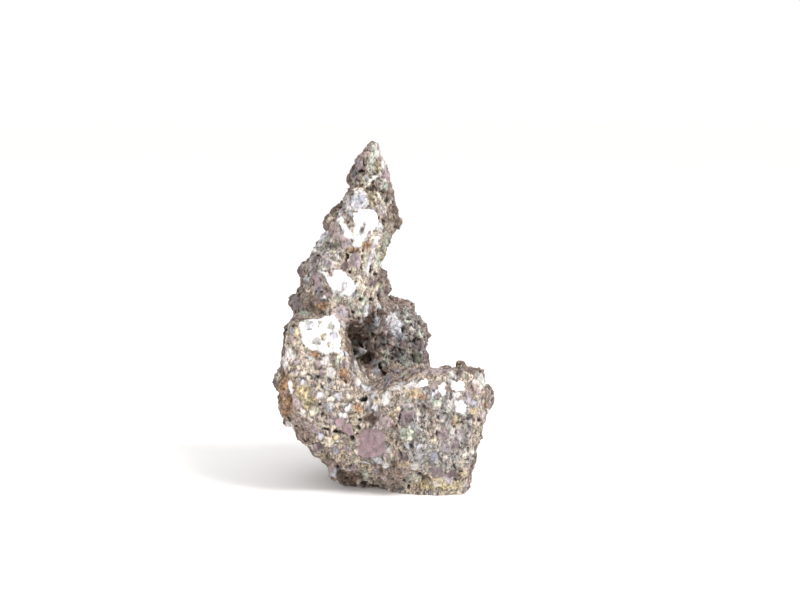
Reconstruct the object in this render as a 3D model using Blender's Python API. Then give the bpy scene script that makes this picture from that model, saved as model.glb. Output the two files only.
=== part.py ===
"""An ibigawa rock: one weathered conglomerate stone with a tall leaning spire, for Blender 4.5.

Metres, +Z up. The stone stands on the XY plane and its front faces -Y. The origin is the middle
of its box, on the surface that it rests on. Sizes below are in millimetres.
"""

import math
from typing import NamedTuple

import bmesh
import bpy
from mathutils import Matrix, Vector, noise
from mathutils.bvhtree import BVHTree

MM = 0.001


class Level(NamedTuple):
    """One level of a mass: its height, and how far it reaches each way."""

    z: float
    left: float
    right: float
    front: float
    back: float


# The masses that the stone is made of, each from its top down
SPIRE = (
    Level(267, -9, -4, 1, 11),
    Level(264, -13, -3, -2, 14),
    Level(259, -17, -2, -5, 17),
    Level(252, -21, -1, -8, 20),
    Level(244, -22, 1, -11, 23),
    Level(233, -23, 3, -14, 25),
    Level(222, -28, 4, -17, 27),
    Level(209, -38, 5, -20, 29),
    Level(198, -45, 6, -22, 31),
    Level(191, -50, 5, -24, 31),
    Level(180, -56, 3, -27, 33),
    Level(168, -59, -1, -30, 36),
    Level(155, -65, -2, -32, 40),
    Level(141, -69, 0, -33, 44),
    Level(131, -68, 2, -30, 48),
    Level(122, -68, 5, -17, 50),
    Level(108, -68, 9, -9, 53),
    Level(92, -67, 14, -9, 56),
    Level(70, -62, 26, -12, 57),
    Level(42, -48, 40, -18, 55),
    Level(12, -30, 48, -16, 49),
    Level(-9, -22, 46, -10, 42),
)
FIN = (
    Level(252, -9, -2, 2, 14),
    Level(243, -9, 3, -1, 17),
    Level(231, -9, 7, -4, 20),
    Level(220, -9, 9, -6, 22),
    Level(208, -9, 11, -7, 22),
    Level(201, -9, 11, -5, 20),
    Level(197, -9, 6, -2, 16),
)
SHOULDER = (
    Level(134, -70, -32, -40, -4),
    Level(127, -73, -29, -46, 3),
    Level(113, -76, -27, -51, 14),
    Level(100, -79, -22, -55, 22),
    Level(85, -81, -12, -59, 28),
    Level(70, -80, 0, -61, 32),
    Level(56, -74, 10, -61, 33),
    Level(45, -67, 15, -58, 33),
    Level(35, -58, 19, -54, 32),
    Level(26, -50, 21, -50, 31),
    Level(14, -43, 20, -42, 30),
    Level(5, -36, 18, -32, 27),
    Level(-9, -30, 15, -22, 23),
)
FRONT_BLOCK = (
    Level(97, 34, 72, -56, -32),
    Level(91, 4, 76, -63, -24),
    Level(84, -12, 78, -66, -17),
    Level(74, -20, 80, -68, -8),
    Level(62, -22, 79, -68, 5),
    Level(51, -20, 77, -67, 15),
    Level(41, -18, 75, -64, 24),
    Level(31, -16, 73, -61, 29),
    Level(20, -12, 71, -57, 31),
    Level(8, -4, 68, -51, 29),
    Level(-9, 6, 62, -45, 24),
)
BACK_LOBE = (
    Level(136, 3, 10, 18, 36),
    Level(131, -3, 21, 10, 45),
    Level(124, -6, 28, 4, 52),
    Level(116, -6, 33, 0, 57),
    Level(107, -6, 34, -2, 60),
    Level(96, -6, 34, -3, 62),
    Level(82, -6, 36, -5, 62),
    Level(60, -4, 44, -8, 59),
    Level(32, 0, 49, -8, 53),
    Level(-9, 2, 42, -6, 38),
)
RING_CORNERS = 12


class Mass(NamedTuple):
    """One mass: its levels, and the power on its corner circle, 1 for an ellipse and 0 for a box."""

    levels: tuple
    squareness: float


MASSES = (
    Mass(SPIRE, 0.75),
    Mass(FIN, 0.9),
    Mass(SHOULDER, 0.45),
    Mass(FRONT_BLOCK, 0.55),
    Mass(BACK_LOBE, 0.8),
)


class Pebble(NamedTuple):
    """A rounded stone that stands out of the mass: its middle and its half sizes."""

    x: float
    y: float
    z: float
    across: float
    deep: float
    high: float


PEBBLES = (
    Pebble(-24, 8, 241, 3, 6, 7),
    Pebble(-25, 6, 229, 3, 6, 4),
    Pebble(-31, 4, 222, 3, 5, 3),
    Pebble(-39, -6, 206, 5, 8, 6),
    Pebble(-67, 0, 140, 7, 12, 9),
    Pebble(-60, 4, 163, 5, 10, 11),
    Pebble(-2, 12, 148, 6, 9, 8),
    Pebble(20, 24, 121, 11, 13, 9),
    Pebble(26, 20, 103, 8, 12, 10),
    Pebble(60, -44, 97, 4, 4, 4),
    Pebble(74, -42, 91, 5, 7, 7),
    Pebble(44, -40, 95, 9, 9, 5),
    Pebble(26, -44, 90, 8, 8, 5),
    Pebble(76, -38, 74, 6, 9, 10),
    Pebble(-76, -22, 81, 8, 13, 12),
    Pebble(-68, -20, 54, 7, 11, 8),
    Pebble(-36, -34, 14, 7, 9, 7),
    Pebble(46, -46, 6, 14, 8, 8),
    Pebble(-10, -32, 10, 12, 8, 7),
)


class Pit(NamedTuple):
    """A hollow: its place on the front (+1) or the back (-1), how far it reaches, and its depth."""

    x: float
    z: float
    across: float
    high: float
    depth: float
    inward: int = 1


PITS = (
    Pit(-18, 243, 3, 7, 3),
    Pit(-33, 187, 3, 7, 5),
    Pit(-31, 178, 4, 4, 4),
    Pit(-8, 148, 6, 14, 8),
    Pit(-12, 128, 5, 9, 8),
    Pit(-21, 112, 7, 6, 9),
    Pit(-14, 96, 7, 7, 10),
    Pit(-4, 113, 6, 5, 8),
    Pit(-3, 103, 5, 8, 5),
    Pit(0, 88, 5, 8, 6),
    Pit(22, 108, 4, 4, 4),
    Pit(17, 93, 4, 7, 4),
    Pit(31, 92, 4, 8, 4),
    Pit(-38, 38, 11, 4, 5),
    Pit(-14, 24, 7, 5, 4),
    Pit(28, 66, 3, 9, 3),
    Pit(70, 51, 5, 6, 5),
    Pit(-6, 61, 4, 3, 4),
    Pit(10, 4, 7, 5, 6),
    Pit(30, 14, 6, 4, 4),
    Pit(-70, 66, 3, 14, 3),
    Pit(-38, 158, 9, 6, 6, -1),
    Pit(-52, 96, 6, 16, 6, -1),
    Pit(-12, 118, 12, 5, 7, -1),
    Pit(16, 92, 5, 12, 6, -1),
    Pit(-30, 62, 15, 6, 6, -1),
    Pit(28, 44, 8, 9, 5, -1),
    Pit(-14, 204, 5, 9, 4, -1),
    Pit(62, 34, 8, 6, 5, -1),
)


class Crags(NamedTuple):
    """Broken faces: the size of one, its slope, and the width and depth of the crack round it."""

    size: float
    slope: float
    crack: float
    depth: float


class Lumps(NamedTuple):
    """Rounded grains of the weathered crust: the size of one and how far it stands out."""

    size: float
    height: float


CRAGS = (Crags(24, 0.32, 0.09, 1.3), Crags(11, 0.36, 0.14, 1.2), Crags(6, 0.26, 0.2, 0.5))
SLABS = Crags(54, 0.34, 0.04, 3.0)
LUMPS = (Lumps(15, 4.2), Lumps(8, 2.2))
ROUGHNESS_SIZE = 7
ROUGHNESS_HEIGHT = 0.6
MOST_MOVE = 4.5
SLAB_MOVE = 6.5

FINE_VOXEL = 2.0
TRIANGLES = 9400
FOOT_HEIGHT = 0.0
STONE_COLOUR = (0.42, 0.36, 0.32, 1.0)
STONE_ROUGHNESS = 0.88


def clear_scene():
    for old in list(bpy.data.objects):
        bpy.data.objects.remove(old)


def ring_of(level, squareness):
    """The corners of one level, on a circle squared towards its box."""
    centre = Vector(((level.left + level.right) / 2, (level.front + level.back) / 2, level.z))
    half_x = (level.right - level.left) / 2
    half_y = (level.back - level.front) / 2
    corners = []
    for step in range(RING_CORNERS):
        angle = math.tau * (step + 0.5) / RING_CORNERS
        across = math.copysign(abs(math.cos(angle)) ** squareness, math.cos(angle))
        deep = math.copysign(abs(math.sin(angle)) ** squareness, math.sin(angle))
        corners.append(centre + Vector((half_x * across, half_y * deep, 0)))
    return corners


def add_mass(shape, mass):
    """One closed mass, skinned over its levels."""
    rings = []
    for level in mass.levels:
        rings.append([shape.verts.new(corner) for corner in ring_of(level, mass.squareness)])
    for upper, lower in zip(rings, rings[1:]):
        for this in range(RING_CORNERS):
            after = (this + 1) % RING_CORNERS
            shape.faces.new((upper[this], lower[this], lower[after], upper[after]))
    shape.faces.new(rings[0])
    shape.faces.new(list(reversed(rings[-1])))


def add_pebble(shape, pebble):
    place = Matrix.Translation((pebble.x, pebble.y, pebble.z))
    size = Matrix.Diagonal((pebble.across, pebble.deep, pebble.high, 1))
    bmesh.ops.create_icosphere(shape, subdivisions=2, radius=1, matrix=place @ size)


def fuse(stone):
    """Makes one skin of all that overlaps in the mesh."""
    remesh = stone.modifiers.new("fuse", "REMESH")
    remesh.mode = "VOXEL"
    remesh.voxel_size = FINE_VOXEL
    apply_modifiers(stone)


def apply_modifiers(stone):
    graph = bpy.context.evaluated_depsgraph_get()
    made = bpy.data.meshes.new_from_object(stone.evaluated_get(graph))
    stone.modifiers.clear()
    stone.data = made


def smooth_step(low, high, value):
    share = min(1.0, max(0.0, (value - low) / (high - low)))
    return share * share * (3 - 2 * share)


def crag_height(crags, point):
    """Each cell is a broken face with a slope of its own, and a crack round it."""
    distances, centres = noise.voronoi(point / crags.size)
    lean = noise.cell_vector(centres[0] * 97) * 2 - Vector((1, 1, 1))
    rise = (point / crags.size - centres[0]).dot(lean) * crags.slope * crags.size
    crack = 1 - smooth_step(0, crags.crack, distances[1] - distances[0])
    return rise - crack * crags.depth


def lump_height(lumps, point):
    """A dome over each cell, with a crease where two of them meet."""
    nearest = noise.voronoi(point / lumps.size + Vector((5.3, 1.7, 8.9)))[0][0]
    return (0.45 - nearest ** 1.5) * lumps.height


def crust_share(point, outward):
    """How weathered the skin is: the front is a fresh break, the recess and the sides are crust."""
    turned_away = smooth_step(-0.6, -0.1, outward.y)
    recess = smooth_step(-34, -26, point.x) * smooth_step(88, 98, point.z)
    recess *= smooth_step(-38, -22, point.y) * (1 - smooth_step(132, 150, point.z))
    return max(turned_away, recess)


def relief_at(point, outward):
    """How far the surface stands out at a point."""
    crust = crust_share(point, outward)
    broken = sum(crag_height(crags, point) for crags in CRAGS)
    grains = sum(lump_height(lumps, point) for lumps in LUMPS)
    height = broken * (0.75 - 0.25 * crust) + grains * crust
    height += noise.fractal(point / ROUGHNESS_SIZE, 0.9, 2.1, 3) * ROUGHNESS_HEIGHT
    slab = crag_height(SLABS, point) * smooth_step(0.05, 0.6, outward.y)
    height = max(-MOST_MOVE, min(MOST_MOVE, height)) + max(-SLAB_MOVE, min(SLAB_MOVE, slab))
    return height * (1 - 0.55 * smooth_step(236, 256, point.z))


def weather(stone):
    """Moves every point of the skin along its normal by the relief there."""
    for vertex, outward in [(v, v.normal.copy()) for v in stone.data.vertices]:
        vertex.co += outward * relief_at(vertex.co, outward)
    stone.data.update()


def press_pits(stone):
    """Pushes in the hollows."""
    tree = BVHTree.FromPolygons(
        [v.co.copy() for v in stone.data.vertices], [tuple(p.vertices) for p in stone.data.polygons]
    )
    found = []
    for pit in PITS:
        away = Vector((pit.x, -200 * pit.inward, pit.z))
        found.append((pit, tree.ray_cast(away, Vector((0, pit.inward, 0)))[0]))
    for vertex, normal in [(v, v.normal.copy()) for v in stone.data.vertices]:
        for pit, middle in found:
            off = vertex.co - middle
            reach = (off.x / pit.across) ** 2 + (off.z / pit.high) ** 2 + (off.y / pit.depth) ** 2 / 2
            if reach < 1:
                vertex.co += Vector((0, pit.inward * pit.depth * (1 - reach), 0)) - normal * 0.3
    stone.data.update()


def thin_out(stone):
    """Keeps the faces that the shape needs."""
    decimate = stone.modifiers.new("thin out", "DECIMATE")
    decimate.ratio = TRIANGLES / sum(len(p.vertices) - 2 for p in stone.data.polygons)
    apply_modifiers(stone)


def cut_foot(stone):
    """Cuts the underside flat where it meets the surface, and moves the origin under the middle."""
    shape = bmesh.new()
    shape.from_mesh(stone.data)
    whole = shape.verts[:] + shape.edges[:] + shape.faces[:]
    cut = bmesh.ops.bisect_plane(
        shape, geom=whole, plane_co=(0, 0, FOOT_HEIGHT), plane_no=(0, 0, -1), clear_outer=True
    )
    rim = [e for e in cut["geom_cut"] if isinstance(e, bmesh.types.BMEdge)]
    bmesh.ops.holes_fill(shape, edges=rim)
    bmesh.ops.triangulate(shape, faces=shape.faces[:])
    low = Vector(min(v.co[axis] for v in shape.verts) for axis in range(3))
    high = Vector(max(v.co[axis] for v in shape.verts) for axis in range(3))
    middle = Vector(((low.x + high.x) / 2, (low.y + high.y) / 2, FOOT_HEIGHT))
    bmesh.ops.translate(shape, verts=shape.verts[:], vec=-middle)
    bmesh.ops.scale(shape, verts=shape.verts[:], vec=(MM, MM, MM))
    shape.to_mesh(stone.data)
    shape.free()


def stone_material():
    material = bpy.data.materials.new("stone")
    material.use_nodes = True
    shader = material.node_tree.nodes["Principled BSDF"]
    shader.inputs["Base Color"].default_value = STONE_COLOUR
    shader.inputs["Roughness"].default_value = STONE_ROUGHNESS
    shader.inputs["Metallic"].default_value = 0.0
    return material


def make_stone():
    shape = bmesh.new()
    for mass in MASSES:
        add_mass(shape, mass)
    for pebble in PEBBLES:
        add_pebble(shape, pebble)
    bmesh.ops.recalc_face_normals(shape, faces=shape.faces[:])
    mesh = bpy.data.meshes.new("rock")
    shape.to_mesh(mesh)
    shape.free()
    stone = bpy.data.objects.new("rock", mesh)
    bpy.context.scene.collection.objects.link(stone)
    fuse(stone)
    weather(stone)
    press_pits(stone)
    fuse(stone)
    thin_out(stone)
    cut_foot(stone)
    stone.data.materials.clear()
    stone.data.materials.append(stone_material())
    return stone


clear_scene()
make_stone()
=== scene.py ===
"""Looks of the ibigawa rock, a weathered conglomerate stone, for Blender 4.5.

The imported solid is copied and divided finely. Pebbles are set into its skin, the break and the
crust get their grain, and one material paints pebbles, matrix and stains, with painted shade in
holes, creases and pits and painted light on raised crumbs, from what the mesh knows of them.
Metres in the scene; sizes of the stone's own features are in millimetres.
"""

from __future__ import annotations

import logging
import math
from dataclasses import dataclass, field
from enum import Enum
from typing import Callable, Iterable, Sequence

import bmesh
import bpy
import numpy as np
from mathutils import Matrix, Vector, noise
from mathutils.bvhtree import BVHTree

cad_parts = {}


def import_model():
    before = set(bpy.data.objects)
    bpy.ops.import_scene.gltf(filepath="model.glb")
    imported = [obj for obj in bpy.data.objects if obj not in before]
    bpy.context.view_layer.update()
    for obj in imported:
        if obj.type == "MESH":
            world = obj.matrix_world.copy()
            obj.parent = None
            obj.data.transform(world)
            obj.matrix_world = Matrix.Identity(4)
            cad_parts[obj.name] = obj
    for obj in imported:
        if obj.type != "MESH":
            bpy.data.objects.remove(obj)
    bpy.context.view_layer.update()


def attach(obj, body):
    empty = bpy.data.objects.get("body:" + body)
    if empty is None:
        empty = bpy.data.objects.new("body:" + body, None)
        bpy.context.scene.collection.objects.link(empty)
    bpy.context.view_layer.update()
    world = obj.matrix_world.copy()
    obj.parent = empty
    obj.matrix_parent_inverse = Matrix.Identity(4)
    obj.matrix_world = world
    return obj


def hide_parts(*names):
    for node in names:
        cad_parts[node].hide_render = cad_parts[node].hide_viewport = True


log = logging.getLogger("rock")

MM = 0.001
NODE = "rock"
BAKE_MAP = "OFBake"


def srgb(red: float, green: float, blue: float) -> tuple[float, float, float]:
    """A colour as seen on a screen, 0 to 255, as the linear colour that a shader wants.

    Args:
        red, green, blue: the colour's parts, 0 to 255.

    Returns:
        The three linear parts, 0 to 1.
    """
    parts = []
    for part in (red, green, blue):
        share = part / 255
        parts.append(share / 12.92 if share <= 0.04045 else ((share + 0.055) / 1.055) ** 2.4)
    return tuple(parts)


def smooth_step(low: float, high: float, value: np.ndarray) -> np.ndarray:
    """A smooth rise from 0 at low to 1 at high.

    Args:
        low, high: where the rise starts and ends.
        value: the values to look up.

    Returns:
        The share for each value.
    """
    share = np.clip((value - low) / (high - low), 0, 1)
    return share * share * (3 - 2 * share)


@dataclass(frozen=True)
class MineralFinish:
    """How one kind of stone looks where it lies in the skin.

    Attributes:
        colour: its middle colour as seen, 0 to 255.
        clean: how free it is of the matrix's grains, 0 to 1.
        gloss: 0 for dull, 1 for wet quartz.
        rise: how far it stands out of the skin, in mm.
        soft: how wide its edge fades into the matrix, in mm.
    """

    colour: tuple[float, float, float]
    clean: float = 0.4
    gloss: float = 0.2
    rise: float = 0.2
    soft: float = 1.4


class Mineral(Enum):
    """The kinds of stone, from clear pebbles to grainy zones of the matrix."""

    QUARTZ = MineralFinish((250, 247, 245), 0.85, 0.6, 0.4, 0.9)
    MILKY = MineralFinish((230, 223, 221), 0.5, 0.5, 0.2, 1.6)
    ICE = MineralFinish((210, 208, 200), 0.45, 0.7, 0.3, 1.8)
    PALE_BLUE = MineralFinish((208, 206, 213), 0.6, 0.4, 0.2, 1.2)
    BLUE_GREY = MineralFinish((158, 159, 172), 0.5, 0.3, 0.2, 1.4)
    STEEL = MineralFinish((116, 117, 126), 0.45, 0.3, 0.2, 1.2)
    GREY = MineralFinish((178, 175, 174), 0.5, 0.3, 0.2, 1.2)
    LILAC = MineralFinish((162, 139, 144), 0.85, 0.25, 0.5, 0.7)
    MAUVE = MineralFinish((180, 168, 171), 0.4, 0.25, 0.2, 1.6)
    PURPLE = MineralFinish((148, 131, 135), 0.5, 0.2, 0.3, 1.2)
    PLUM = MineralFinish((112, 95, 98), 0.4, 0.2, 0.3, 1.2)
    PINK = MineralFinish((188, 170, 167), 0.55, 0.2, 0.2, 1.2)
    BROWN = MineralFinish((150, 132, 122), 0.0, 0.1, 0.3, 2.0)
    UMBER = MineralFinish((112, 92, 80), 0.0, 0.1, 0.0, 2.0)
    RUST = MineralFinish((178, 138, 105), 0.15, 0.1, 0.0, 2.0)
    OCHRE = MineralFinish((214, 192, 154), 0.2, 0.1, 0.0, 2.0)
    OLIVE = MineralFinish((190, 176, 138), 0.0, 0.1, 0.0, 2.2)
    CREAM = MineralFinish((233, 222, 204), 0.45, 0.3, 0.2, 1.2)
    SAND = MineralFinish((202, 187, 172), 0.0, 0.1, 0.0, 3.0)
    ASH = MineralFinish((190, 184, 180), 0.0, 0.1, 0.0, 3.0)
    GREEN = MineralFinish((192, 194, 180), 0.3, 0.3, 0.1, 1.6)
    MOSS = MineralFinish((108, 108, 96), 0.2, 0.2, 0.1, 1.6)


@dataclass(frozen=True)
class Patch:
    """A pebble, vein, stain or zone in the front: where the picture shows it, and its real size.

    Attributes:
        at: the pixel of the 800 x 611 picture that its middle is at.
        size: its width and height in mm.
        mineral: what it is of.
        turn: degrees that it is turned, clockwise as seen.
        shade: how bright it is beside others of its kind.
        square: 2 for an ellipse, more for a blockier outline.
    """

    at: tuple[float, float]
    size: tuple[float, float]
    mineral: Mineral
    turn: float = 0.0
    shade: float = 1.0
    square: float = 2.2


@dataclass(frozen=True)
class Block:
    """A pebble or vein in the front whose outline isn't round.

    Attributes:
        at: the pixel that its outline is measured from.
        outline: its corners, in mm to the right of that pixel and above it, clockwise.
        mineral: what it is of.
        shade: how bright it is beside others of its kind.
    """

    at: tuple[float, float]
    outline: tuple[tuple[float, float], ...]
    mineral: Mineral
    shade: float = 1.0


@dataclass(frozen=True)
class Hole:
    """A hole or crevice in the front, sunk into the skin and darkened with painted shade.

    Attributes:
        at: the pixel that its middle is at.
        size: its width and height in mm.
        depth: how deep it goes, in mm.
        turn: degrees that it is turned, clockwise as seen.
    """

    at: tuple[float, float]
    size: tuple[float, float]
    depth: float
    turn: float = 0.0


M = Mineral

# Zones of the matrix, large and soft, painted first
ZONES = (
    Patch((440, 430), (62, 66), M.ASH, 0, 0.96),
    Patch((330, 385), (60, 70), M.SAND),
    Patch((318, 262), (26, 26), M.ASH),
    Patch((304, 284), (13, 30), M.BROWN, -8, 1.14),
    Patch((362, 345), (36, 44), M.UMBER, 0, 1.06),
    Patch((408, 335), (34, 48), M.ASH, 0, 0.80),
    Patch((386, 338), (15, 20), M.PINK, 0, 0.88),
    Patch((389, 205), (13, 40), M.BROWN, -10, 0.90),
    Patch((394, 212), (6, 26), M.UMBER, -10, 1.05),
    Patch((384, 280), (9, 26), M.BROWN, 0, 0.92),
    Patch((386, 244), (7, 22), M.MOSS, 0, 1.35),
    Patch((345, 475), (34, 17), M.UMBER, 24, 1.15),
    Patch((396, 474), (30, 14), M.BROWN, 8, 1.10),
    Patch((300, 430), (22, 22), M.BROWN, -30, 1.12),
    Patch((284, 396), (10, 36), M.RUST, -10, 0.95),
    Patch((296, 362), (17, 26), M.SAND, 0, 1.05),
    Patch((306, 400), (15, 22), M.OLIVE, -12, 1.08),
    Patch((312, 305), (24, 15), M.BROWN, 0, 0.98),
    Patch((342, 314), (18, 13), M.PINK, 0, 1.06),
    Patch((358, 304), (15, 17), M.GREEN, 0, 0.93),
    Patch((478, 432), (11, 30), M.SAND, 12, 0.96),
    Patch((434, 430), (12, 20), M.SAND, 0, 0.94),
    Patch((398, 436), (10, 24), M.SAND, 0, 0.93),
    Patch((382, 424), (18, 12), M.PINK, 0, 0.94),
    Patch((440, 484), (36, 9), M.OLIVE, 0, 1.12),
    Patch((362, 388), (16, 18), M.SAND, 0, 0.94),
    Patch((362, 186), (17, 8), M.BROWN, 0, 1.0),
    Patch((380, 166), (8, 14), M.OLIVE, -14, 0.96),
    Patch((384, 184), (8, 9), M.GREEN),
    Patch((345, 208), (11, 22), M.MILKY, 28),
    Patch((320, 238), (10, 16), M.MILKY, 32),
)

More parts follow.
